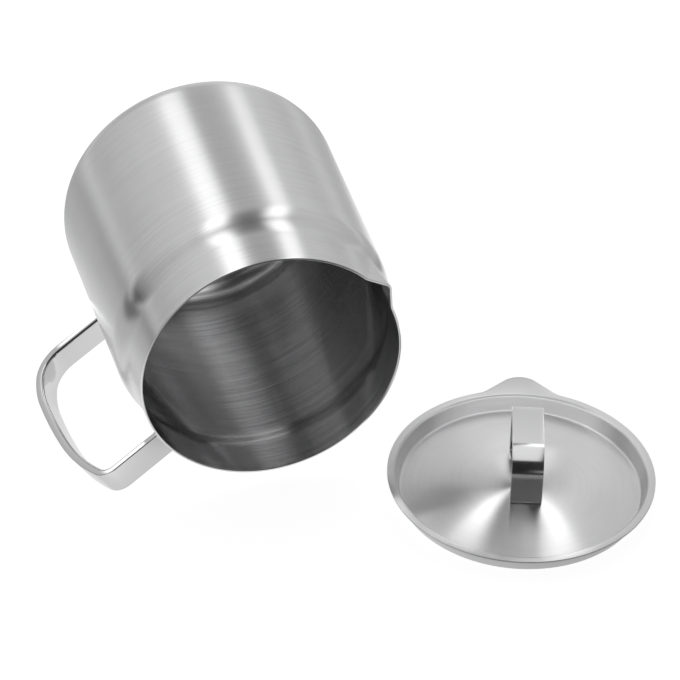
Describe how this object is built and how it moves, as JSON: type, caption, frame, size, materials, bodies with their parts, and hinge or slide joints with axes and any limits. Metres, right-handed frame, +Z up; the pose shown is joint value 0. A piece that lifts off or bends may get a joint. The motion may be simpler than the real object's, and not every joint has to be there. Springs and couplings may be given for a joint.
{
  "type": "bacon grease container",
  "caption": "Stainless steel grease jug with a pouring lip and a strap handle, lying on its side beside its lid.",
  "frame": {"origin": "middle of the whole object's box, on the ground plane it lies on", "axes": "+Z up, -Y the way the lying jug's mouth points, +X from the jug's handle towards the lid"},
  "size_m": [0.2398, 0.2206, 0.1224],
  "materials": {
    "brushed_shell": "stainless sheet brushed round the jug's axis, soft satin",
    "spun_lid": "stainless sheet brushed in fine rings round the lid's middle",
    "polished_strap": "stainless strap polished to a mirror"
  },
  "bodies": {
    "jug": {"jug_body": "brushed_shell", "jug_handle": "polished_strap", "base_arm_weld": "polished_strap", "mouth_arm_weld": "polished_strap"},
    "lid": {"lid_pan": "spun_lid", "lid_handle": "polished_strap"}
  },
  "joints": [
    {"name": "lid_lift", "type": "slide", "parent": "jug", "child": "lid", "axis": [0.1104, -0.0848, 0.9903], "range_m": [0, 0.14]}
  ]
}
